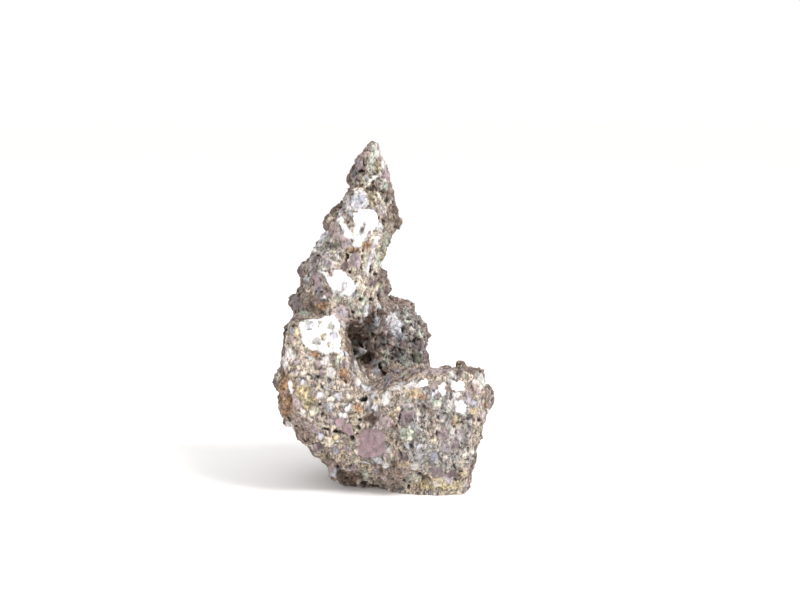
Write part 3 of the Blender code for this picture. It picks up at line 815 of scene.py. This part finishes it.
@dataclass(frozen=True)
class StoneFinish:
    """The stone's one material: grains, specks, streaks and crevices over the painted minerals, with painted
    shade in pits, creases and holes and painted light on raised crumbs.

    Sizes are in mm, colours 0 to 255 as seen.
    """

    grain: float = 2.5
    fine_grain: float = 1.2
    warp: float = 2.6
    bedding: tuple[float, float, float] = (0.0, -0.32, 0.0)
    stretch: float = 0.42
    brightness: float = 0.93
    # dark mineral specks, and painted shade in pits and crevices
    speck_and_pit_shade: tuple = (92, 76, 66)
    dust: tuple = (236, 230, 222)
    dull: float = 0.92
    glossy: float = 0.42

    def build(self) -> bpy.types.Material:
        """Makes the material.

        Returns:
            The finished material.
        """
        board = Board("weathered conglomerate")
        here = board.add("ShaderNodeTexCoord", {}, {}, "Object")
        here = board.vector("SCALE", {0: here, "Scale": 1 / MM})
        drift = board.noise(here, 4.5, 2.0, 0.5, "Color")
        drift = board.vector("SUBTRACT", {0: drift, 1: (0.5, 0.5, 0.5)})
        place = board.vector("MULTIPLY_ADD", {0: drift, 1: (self.warp,) * 3, 2: here})
        along = board.add(
            "ShaderNodeMapping", {}, {"Vector": place, "Rotation": self.bedding, "Scale": (1, 1, self.stretch)}
        )

        crust = board.attribute("crust")
        relief_shade = board.attribute("relief_shade")
        hole_shade = board.attribute("hole_shade")
        tint = board.attribute("tint", "Color")
        clean, gloss, rim = board.split(board.attribute("look", "Color"))
        loose = 1 - clean

        grain = board.cells(place, self.grain, output="Color")
        grain_far = board.other(grain, "Distance")
        lottery, second, third = board.split(grain)
        fine = board.cells(along, self.fine_grain, output="Color")
        fine_far = board.other(fine, "Distance")
        fine_lottery, _, _ = board.split(fine)
        sand = board.noise(along, 1.4, 5.0, 0.72)
        streak = board.noise(along, 5.5, 4.0, 0.6)
        cloud = board.noise(here, 11.0, 3.0, 0.55)
        hue = board.noise(place, 5.0, 3.0, 0.6, "Color")
        hue = board.vector("SUBTRACT", {0: hue, 1: (0.5, 0.5, 0.5)})
        hue = board.vector("MULTIPLY_ADD", {0: hue, 1: (0.30, 0.20, 0.32), 2: (1.0, 1.0, 1.0)})
        grain_hue = board.vector("MULTIPLY_ADD", {0: grain, 1: (0.08, 0.06, 0.11), 2: (0.96, 0.97, 0.94)})

        light = 0.96 + (lottery - 0.5) * 0.36 + (fine_lottery - 0.5) * 0.50 + (sand - 0.5) * 1.5
        light = 1 + (light - 1) * (0.14 + loose * 0.86) + (cloud - 0.5) * 0.5
        colour = board.blend(1.0, tint, hue, "MULTIPLY")
        colour = board.blend(0.35 + loose * 0.65, colour, board.blend(1.0, colour, grain_hue, "MULTIPLY"))
        colour = board.scaled(colour, light)

        # dark specks and crevice lines, partly dark minerals and partly painted shade in pits and crevices;
        # pebble rims get the same dark colour
        dark = (sand + (second - 0.5) * 0.12 + (cloud - 0.5) * 0.25 - crust * 0.03).step(0.475, 0.40)
        line = (abs(streak - 0.5) * 2).step(0.075, 0.0) * (cloud + (third - 0.5) * 0.3).step(0.40, 0.58)
        dark = (dark * 0.85).most(line * 0.75) * (0.10 + loose * 0.90)
        dark = dark.most(rim * (third + sand).step(0.75, 1.15) * 0.7)
        bright = (sand + (third - 0.5) * 0.14).step(0.60, 0.70) * loose
        colour = board.blend(bright * 0.55, colour, srgb(*self.dust))
        colour = board.blend(dark, colour, srgb(*self.speck_and_pit_shade))

        shade = 1 - grain_far.step(0.42, 0.85) * 0.32 * loose
        # painted shade in creases and painted light on raised crumbs
        shade = shade * (1 + relief_shade.least(0) * 0.85 + relief_shade.most(0) * 0.28)
        # painted shade in the holes; the crust's own tone is a little darker
        shade = shade * (1 - hole_shade * 0.90) * (1 - crust * 0.10)
        colour = board.scaled(colour, shade * self.brightness)

        rough = self.dull - gloss * (self.dull - self.glossy) + (sand - 0.5) * 0.3
        rough = rough.most(0.3).least(1)
        bumps = (0.9 - grain_far) * 0.5 * (0.15 + loose * 0.85) + (0.9 - fine_far) * 0.32 * (0.25 + loose * 0.75)
        bumps = bumps + sand * 0.9 * (0.2 + loose * 0.8) - line * 0.3
        skin = board.add(
            "ShaderNodeBump", {}, {"Strength": 0.9, "Distance": 1.0 * MM, "Height": bumps}, "Normal"
        )
        return board.surface(
            board.add(
                "ShaderNodeBsdfPrincipled", {}, {"Base Color": colour, "Roughness": rough, "Normal": skin}
            )
        )


@dataclass
class Studio:
    """A pale floor, soft light, and a camera where the picture's was.

    Lengths are in mm in the stone's own frame.
    """

    picture: tuple[int, int] = (800, 611)
    aim: tuple[float, float, float] = (13.2, 1.9, 138.6)
    distance: float = 1250.0
    tilt: float = 10.0
    pixel: float = 0.78
    sensor: float = 36.0
    floor_size: float = 9000.0
    world_light: float = 1.05
    key_energy: float = 12.0
    key_at: tuple[float, float, float] = (620.0, -420.0, 900.0)
    key_size: float = 420.0
    floor_colour: tuple = (0.96, 0.945, 0.935)

    def away(self) -> Vector:
        """The direction from the stone to the camera."""
        tilt = math.radians(self.tilt)
        return Vector((0, -math.cos(tilt), math.sin(tilt)))

    def eye(self) -> Vector:
        """Where the camera stands, in mm."""
        return Vector(self.aim) + self.away() * self.distance

    def across(self) -> tuple[Vector, Vector, Vector]:
        """The picture's right and up, and the way that the camera looks."""
        look = -self.away()
        right = Vector((1, 0, 0))
        return right, right.cross(look), look

    def ray(self, at: tuple[float, float]) -> Vector:
        """The direction from the camera through one pixel of the picture."""
        right, up, look = self.across()
        width, height = self.picture
        aside = (at[0] - width / 2) * self.pixel
        above = (height / 2 - at[1]) * self.pixel
        return (look * self.distance + right * aside + up * above).normalized()

    def seen(self, points: np.ndarray) -> np.ndarray:
        """Where points show in the picture: pixels across and down, and mm away from the camera."""
        right, up, look = (np.array(axis) for axis in self.across())
        off = points - np.array(self.eye())
        deep = off @ look
        width, height = self.picture
        scale = self.distance / self.pixel / deep
        return np.stack([width / 2 + off @ right * scale, height / 2 - off @ up * scale, deep], 1)

    def build(self) -> None:
        """Adds floor, world, light and camera."""
        self._floor()
        self._lights()
        self._camera()
        log.info("studio: floor, light and camera are in place")

    def _floor(self) -> None:
        """Lays the floor."""
        bpy.ops.object.select_all(action="DESELECT")
        bpy.ops.mesh.primitive_plane_add(size=self.floor_size * MM, location=(0, 0, 0))
        floor = bpy.context.object
        floor.name = "floor"
        board = Board("white table")
        finish = {"Base Color": (*self.floor_colour, 1.0), "Roughness": 0.9}
        floor.data.materials.append(board.surface(board.add("ShaderNodeBsdfPrincipled", {}, finish)))

    def _lights(self) -> None:
        """A white surround, and one soft lamp above on the right."""
        world = bpy.data.worlds.new("white room")
        world.use_nodes = True
        back = world.node_tree.nodes["Background"]
        back.inputs["Color"].default_value = (1, 1, 1, 1)
        back.inputs["Strength"].default_value = self.world_light
        bpy.context.scene.world = world
        lamp = bpy.data.lights.new("soft key", "AREA")
        lamp.energy = self.key_energy
        lamp.size = self.key_size * MM
        key = bpy.data.objects.new("soft key", lamp)
        bpy.context.scene.collection.objects.link(key)
        place = Vector(self.key_at) * MM
        key.location = place
        key.rotation_euler = (place - Vector(self.aim) * MM).to_track_quat("Z", "Y").to_euler()

    def _camera(self) -> None:
        """The camera, with the lens that gives the picture's scale."""
        lens = bpy.data.cameras.new("camera")
        lens.sensor_width = self.sensor
        lens.lens = self.sensor * self.distance / (self.pixel * self.picture[0])
        lens.clip_start = 0.01
        camera = bpy.data.objects.new("camera", lens)
        bpy.context.scene.collection.objects.link(camera)
        camera.location = self.eye() * MM
        camera.rotation_euler = self.away().to_track_quat("Z", "Y").to_euler()
        bpy.context.scene.camera = camera


@dataclass
class Rock:
    """The stone's skin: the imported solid, divided, with pebbles, grain and holes worked into it.

    Lengths are in mm.
    """

    studio: Studio
    finish: StoneFinish = field(default_factory=StoneFinish)
    longest_edge: float = 1.8
    seed: int = 11
    loose_pebbles: int = 1500
    pebble_sizes: tuple[float, float] = (2.6, 11.0)
    foot_keep: float = 1.2
    reach: float = 26.0
    piece: bpy.types.Object | None = None

    def build(self) -> bpy.types.Object:
        """Makes the finished piece.

        Returns:
            The stone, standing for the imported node.
        """
        self._copy_solid()
        self._lay_out_map()
        self._divide()
        self._measure()
        self._paint()
        self._sink_holes()
        self._roughen()
        self._write()
        self._hand_over()
        return self.piece

    def _copy_solid(self) -> None:
        """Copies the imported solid, and joins its loose triangles."""
        bpy.ops.object.select_all(action="DESELECT")
        node = bpy.data.objects[NODE]
        self.piece = bpy.data.objects.new("rock_skin", node.data.copy())
        bpy.context.scene.collection.objects.link(self.piece)
        bpy.context.view_layer.objects.active = self.piece
        self.piece.select_set(True)
        self.piece.data.materials.clear()
        for layer in list(self.piece.data.uv_layers):
            self.piece.data.uv_layers.remove(layer)
        bpy.ops.object.mode_set(mode="EDIT")
        bpy.ops.mesh.select_all(action="SELECT")
        bpy.ops.mesh.remove_doubles(threshold=0.02 * MM)
        bpy.ops.object.mode_set(mode="OBJECT")
        log.info("solid copied: %d faces", len(self.piece.data.polygons))

    def _lay_out_map(self) -> None:
        """Unwraps the coarse skin in a few large islands, parted by the way that it faces."""
        mesh = self.piece.data
        shape = bmesh.new()
        shape.from_mesh(mesh)
        shape.faces.ensure_lookup_table()
        normals = np.array([face.normal[:] for face in shape.faces]) * np.array(
            [[face.calc_area()] for face in shape.faces]
        )
        beside = [[e.link_faces[0].index, e.link_faces[1].index] for e in shape.edges]
        pairs = np.array(beside)
        for _ in range(60):
            total = normals.copy()
            np.add.at(total, pairs[:, 0], normals[pairs[:, 1]])
            np.add.at(total, pairs[:, 1], normals[pairs[:, 0]])
            normals = total / 4
        normals /= np.linalg.norm(normals, axis=1, keepdims=True)
        ways = np.array([(0, -1, 0), (0.87, 0.5, 0), (-0.87, 0.5, 0), (0, 0, 1.15), (0, 0, -1.05)])
        sides = (normals @ ways.T).argmax(1)
        for edge, (one, two) in zip(shape.edges, beside):
            edge.seam = bool(sides[one] != sides[two])
        shape.to_mesh(mesh)
        shape.free()
        mesh.uv_layers.new(name=BAKE_MAP)
        bpy.ops.object.mode_set(mode="EDIT")
        bpy.ops.mesh.select_all(action="SELECT")
        bpy.ops.uv.unwrap(method="CONFORMAL", margin=0.003)
        bpy.ops.uv.average_islands_scale()
        bpy.ops.uv.pack_islands(margin=0.004, rotate=True, shape_method="CONCAVE")
        bpy.ops.object.mode_set(mode="OBJECT")

    def _divide(self) -> None:
        """Divides every long edge until the mesh is even and fine."""
        for limit in (6.0, 3.4, 2.0, self.longest_edge):
            bpy.ops.object.mode_set(mode="EDIT")
            bpy.ops.mesh.select_mode(type="EDGE")
            bpy.ops.mesh.select_all(action="DESELECT")
            bpy.ops.object.mode_set(mode="OBJECT")
            mesh = self.piece.data
            ends = np.empty(len(mesh.edges) * 2, int)
            mesh.edges.foreach_get("vertices", ends)
            points = self._points()
            ends = ends.reshape(-1, 2)
            long = np.linalg.norm(points[ends[:, 0]] - points[ends[:, 1]], axis=1) > limit
            mesh.edges.foreach_set("select", long)
            bpy.ops.object.mode_set(mode="EDIT")
            bpy.ops.mesh.subdivide(number_cuts=1, smoothness=0.6 if limit > 3 else 0.0)
            bpy.ops.mesh.select_all(action="SELECT")
            bpy.ops.mesh.quads_convert_to_tris()
            bpy.ops.object.mode_set(mode="OBJECT")
        log.info("divided: %d faces", len(self.piece.data.polygons))

    def _points(self) -> np.ndarray:
        """The mesh's points in mm."""
        mesh = self.piece.data
        flat = np.empty(len(mesh.vertices) * 3)
        mesh.vertices.foreach_get("co", flat)
        return flat.reshape(-1, 3) / MM

    def _measure(self) -> None:
        """Keeps the smooth skin's points and normals, and how weathered it is at each."""
        mesh = self.piece.data
        self.points = self._points()
        flat = np.empty(len(mesh.vertices) * 3)
        mesh.vertices.foreach_get("normal", flat)
        self.normals = flat.reshape(-1, 3)
        ends = np.empty(len(mesh.edges) * 2, int)
        mesh.edges.foreach_get("vertices", ends)
        self.ends = ends.reshape(-1, 2)
        self.count = np.bincount(self.ends.ravel(), minlength=len(self.points))
        calm = self._smoothed(self.normals, 25)
        self.calm = calm / np.linalg.norm(calm, axis=1, keepdims=True)
        x, y, z = self.points.T
        turned = smooth_step(-0.62, -0.2, self.calm[:, 1])
        recess = smooth_step(-30, -24, x) * smooth_step(86, 96, z) * (1 - smooth_step(136, 150, z))
        recess *= smooth_step(-42, -26, y)
        tip = smooth_step(205, 222, z + 0.6 * x)
        self.crust = np.maximum.reduce([turned, recess, 0.75 * tip])
        self.foot = smooth_step(0.0, self.foot_keep, z)
        faces = [tuple(face.vertices) for face in mesh.polygons]
        self.tree = BVHTree.FromPolygons([tuple(p) for p in self.points], faces)

    def _smoothed(self, values: np.ndarray, rounds: int) -> np.ndarray:
        """Averages values over each point's neighbours, some rounds over."""
        one, two = self.ends.T
        for _ in range(rounds):
            total = values.copy()
            np.add.at(total, one, values[two])
            np.add.at(total, two, values[one])
            values = total / (self.count + 1).reshape((-1,) + (1,) * (values.ndim - 1))
        return values

    def _each(self, function: Callable[[Vector], float], points: np.ndarray | None = None) -> np.ndarray:
        """A function of the place, for every point."""
        return np.array([function(Vector(point)) for point in (self.points if points is None else points)])

    def _crumbled(self) -> np.ndarray:
        """The points, pushed about so that what is laid on them gets crumbly edges."""
        shifts = []
        for shift in (Vector((31, 5, 11)), Vector((3, 47, 23)), Vector((17, 9, 61))):
            wide = self._each(lambda p: noise.noise(p / 6.5 + shift))
            fine = self._each(lambda p: noise.noise(p / 2.3 - shift))
            shifts.append(1.3 * wide + 0.7 * fine)
        centres = self._each(lambda p: noise.voronoi(p / 1.9)[1][0] * 1.9)
        return self.points * 0.7 + centres * 0.3 + np.stack(shifts, 1)

    def _paint(self) -> None:
        """Lays zones, loose pebbles and the front's own features on the skin, in that order."""
        count = len(self.points)
        crumbled = self._crumbled()
        self.view = self.studio.seen(crumbled)
        base = np.array(srgb(*Mineral.SAND.value.colour))
        worn = np.array(srgb(*Mineral.BROWN.value.colour)) * 1.05
        crust = self.crust[:, None]
        self.tint = base * (1 - crust) + worn * crust
        self.clean = np.zeros(count)
        self.gloss = np.zeros(count)
        self.rise = np.zeros(count)
        self.rim = np.zeros(count)
        for zone in ZONES:
            self._lay(*self._cover_front(zone))
        self._lay_loose(crumbled)
        for feature in FEATURES:
            self._lay(*self._cover_front(feature))
        log.info("painted: %d zones, %d features", len(ZONES), len(FEATURES))

    def _cover_front(self, patch: Patch | Block) -> tuple:
        """How far inside a front feature each point near it lies, in mm."""
        hit = self.tree.ray_cast(self.studio.eye(), self.studio.ray(patch.at))[0]
        finish = patch.mineral.value
        if hit is None:
            log.info("no stone at %s", patch.at)
            return np.zeros(0, int), np.zeros(0), finish, 1.0
        deep = self.studio.seen(np.array([hit]))[0, 2]
        pixel = self.studio.pixel * deep / self.studio.distance
        off = (self.view[:, :2] - patch.at) * (pixel, -pixel)
        behind = (self.view[:, 2] - deep) / self.reach
        if isinstance(patch, Block):
            edge, wide = self._inside(off, np.array(patch.outline)), 22.0
        else:
            wide = max(patch.size)
            angle = math.radians(patch.turn)
            across = off[:, 0] * math.cos(angle) - off[:, 1] * math.sin(angle)
            above = off[:, 0] * math.sin(angle) + off[:, 1] * math.cos(angle)
            reach = np.abs(across / patch.size[0] * 2) ** patch.square
            reach = (reach + np.abs(above / patch.size[1] * 2) ** patch.square) ** (1 / patch.square)
            edge = (1 - reach) * min(patch.size) / 2
        edge = edge - 4.0 * np.maximum(0, np.abs(behind) - 0.5 * wide / self.reach) * 4
        near = np.where((edge > -3.0) & (self.normals[:, 1] < 0.5))[0]
        return near, edge[near], finish, patch.shade

    @staticmethod
    def _inside(off: np.ndarray, corners: np.ndarray) -> np.ndarray:
        """How far inside an outline each place lies, in mm, and less than 0 outside."""
        nearest = np.full(len(off), 1e9)
        odd = np.zeros(len(off), bool)
        for one, two in zip(corners, np.roll(corners, -1, 0)):
            side = two - one
            share = np.clip((off - one) @ side / (side @ side), 0, 1)
            nearest = np.minimum(nearest, np.linalg.norm(off - one - share[:, None] * side, axis=1))
            crosses = (one[1] > off[:, 1]) != (two[1] > off[:, 1])
            slope = side[0] * (off[:, 1] - one[1]) / (side[1] if side[1] else 1e-9) + one[0]
            odd ^= crosses & (off[:, 0] < slope)
        return np.where(odd, nearest, -nearest)

    def _lay(self, rows: np.ndarray, edge: np.ndarray, finish: MineralFinish, shade: float) -> None:
        """Lays one mineral over what is there, with its edge faded."""
        share = smooth_step(-finish.soft * 0.55, finish.soft * 0.55, edge)
        blend = share[:, None]
        colour = np.array(srgb(*finish.colour)) * shade**2.2
        self.tint[rows] = self.tint[rows] * (1 - blend) + colour * blend
        self.clean[rows] += (finish.clean - self.clean[rows]) * share
        self.gloss[rows] += (finish.gloss - self.gloss[rows]) * share
        self.rise[rows] += (finish.rise * smooth_step(-0.3, 1.6, edge) - self.rise[rows]) * share
        ring = np.exp(-(((edge + 0.15) / 0.55) ** 2)) * min(1, finish.clean * 1.6)
        self.rim[rows] = np.maximum(self.rim[rows] * (1 - share), ring)

    def _lay_loose(self, crumbled: np.ndarray) -> None:
        """Scatters the small pebbles that lie all over the stone."""
        kinds = (
            (M.MAUVE, 12), (M.PURPLE, 12), (M.PINK, 12), (M.BROWN, 10), (M.MILKY, 14), (M.QUARTZ, 3),
            (M.PALE_BLUE, 8), (M.BLUE_GREY, 6), (M.GREY, 8), (M.GREEN, 10), (M.PLUM, 6), (M.UMBER, 7),
            (M.CREAM, 9), (M.OCHRE, 3), (M.RUST, 2), (M.ICE, 6), (M.MOSS, 3), (M.SAND, 14),
        )
        draw = np.random.default_rng(self.seed)
        chances = np.array([chance for _, chance in kinds], float)
        low, high = self.pebble_sizes
        for _ in range(self.loose_pebbles):
            index = draw.integers(len(self.points))
            middle, outward = self.points[index], Vector(self.calm[index])
            kind = kinds[draw.choice(len(kinds), p=chances / chances.sum())][0].value
            size = low + (high - low) * draw.random() ** 3
            spin = Matrix.Rotation(draw.uniform(0, math.tau), 3, outward)
            one = spin @ outward.orthogonal().normalized()
            axes = (np.array(one), np.array(outward.cross(one)), np.array(outward))
            square = draw.uniform(1.8, 3.4)
            lengths = (size, size * draw.uniform(0.45, 1.0), size * 1.2)
            near = np.where(((crumbled - middle) ** 2).sum(1) < (size * 0.8 + 3) ** 2)[0]
            off = crumbled[near] - middle
            reach = sum(np.abs(off @ axis / length * 2) ** square for axis, length in zip(axes, lengths))
            edge = (1 - reach ** (1 / square)) * min(lengths) / 2
            worn = 1 - 0.12 * self.crust[index]
            self._lay(near, edge, kind, draw.uniform(0.90, 1.05) * worn)

    def _sink_holes(self) -> None:
        """Marks the holes with painted shade, and works out how far each point sinks into them."""
        self.hole_shade = np.zeros(len(self.points))
        self.sink = np.zeros(len(self.points))
        ripple = self._each(lambda p: noise.noise(p / 2.2 + Vector((7, 7, 1))))
        view = self.studio.seen(self.points)
        for hole in HOLES:
            hit = self.tree.ray_cast(self.studio.eye(), self.studio.ray(hole.at))[0]
            if hit is None:
                continue
            deep = self.studio.seen(np.array([hit]))[0, 2]
            pixel = self.studio.pixel * deep / self.studio.distance
            off = (view[:, :2] - hole.at) * (pixel, -pixel)
            angle = math.radians(hole.turn)
            across = off[:, 0] * math.cos(angle) - off[:, 1] * math.sin(angle)
            above = off[:, 0] * math.sin(angle) + off[:, 1] * math.cos(angle)
            reach = np.hypot(across / hole.size[0], above / hole.size[1]) * 2
            reach = np.hypot(reach, (view[:, 2] - deep) / 9) + ripple * 0.35
            share = 1 - smooth_step(0.3, 1.2, reach)
            # painted shade inside each hole, darker for deeper holes
            dark = (1 - smooth_step(0.45, 1.15, reach)) * min(1.0, 0.35 + hole.depth / 4)
            self.hole_shade = np.maximum(self.hole_shade, dark)
            self.sink = np.maximum(self.sink, share * hole.depth)

    def _crumbs(self, points: np.ndarray, size: float, shift: float) -> tuple[np.ndarray, np.ndarray]:
        """Broken grains: how high each stands with its own slope, and the crease between them."""

        def grain(point: Vector) -> tuple[float, float]:
            here = point / size + Vector((shift, shift * 2, shift * 3))
            spans, centres = noise.voronoi(here)
            centre = centres[0]
            lean = noise.cell_vector(centre * 91) * 2 - Vector((1, 1, 1))
            height = noise.cell(centre * 57) + (here - centre).dot(lean) * 0.9
            return height, spans[1] - spans[0]

        both = self._each(grain, points)
        return both[:, 0], np.exp(-both[:, 1] / 0.14)

    def _roughen(self) -> None:
        """Adds up the relief and moves the points."""
        wander = self._each(lambda p: noise.noise(p / 5 + Vector((3, 3, 3))))
        bent = self.points + wander[:, None] * np.array((1.8, 1.2, -1.5))
        lie = Matrix.Rotation(math.radians(-18), 3, "Y")
        laid = bent @ np.array(lie).T * (1, 1, 0.55)
        chips, chip_gaps = self._crumbs(laid, 4.2, 3.0)
        grains, grain_gaps = self._crumbs(laid, 2.3, 9.0)
        lumps, lump_gaps = self._crumbs(bent, 5.2, 5.0)
        beads, bead_gaps = self._crumbs(bent, 2.7, 1.0)
        rough = self._each(lambda p: noise.fractal(p / 3.6, 0.7, 2.2, 4))
        waves = self._each(lambda p: noise.fractal(p / 13 + Vector((9, 9, 9)), 0.9, 2.0, 2))
        broken = 0.45 * chips + 0.32 * grains - 0.55 * chip_gaps - 0.35 * grain_gaps + 0.35 * rough
        crusty = 0.75 * lumps + 0.45 * beads - 1.25 * lump_gaps - 0.6 * bead_gaps + 0.5 * rough + 0.3
        height = broken * (1 - self.crust) + crusty * self.crust + 0.7 * waves
        height = height * (1 - 0.65 * self.clean) + self.rise * (0.8 + 0.8 * self.crust)
        height = np.clip(height, -2.4, 2.4) - 0.3 * self.rim - self.sink
        height *= self.foot
        moved = self.points + self.normals * height[:, None]
        moved[:, 2] = np.maximum(moved[:, 2], 0.0)
        # height against the neighbours: the material paints shade into low spots and light onto raised crumbs
        local = self._smoothed(height, 6)
        self.relief_shade = np.clip((height - local) / 0.8, -1, 1)
        self.moved = moved

    def _write(self) -> None:
        """Puts points and attributes on the mesh."""
        mesh = self.piece.data
        mesh.vertices.foreach_set("co", (self.moved * MM).ravel())
        for name, values in {"crust": self.crust, "relief_shade": self.relief_shade, "hole_shade": self.hole_shade}.items():
            mesh.attributes.new(name, "FLOAT", "POINT").data.foreach_set("value", values.astype(np.float32))
        look = np.stack([self.clean, self.gloss, self.rim], 1)
        for name, values in {"tint": self.tint, "look": look}.items():
            full = np.concatenate([values, np.ones((len(values), 1))], 1).astype(np.float32)
            mesh.attributes.new(name, "FLOAT_COLOR", "POINT").data.foreach_set("color", full.ravel())
        mesh.polygons.foreach_set("use_smooth", np.ones(len(mesh.polygons), bool))
        mesh.update()
        mesh.materials.append(self.finish.build())

    def _hand_over(self) -> None:
        """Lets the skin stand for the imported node."""
        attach(self.piece, "root")
        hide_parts(NODE)
        log.info("rock: %d faces", len(self.piece.data.polygons))


def main() -> None:
    """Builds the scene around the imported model."""
    logging.basicConfig(level=logging.INFO, format="%(name)s: %(message)s")
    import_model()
    bpy.context.scene.view_settings.view_transform = "Standard"
    studio = Studio()
    studio.build()
    Rock(studio).build()


if __name__ == "__main__":
    main()
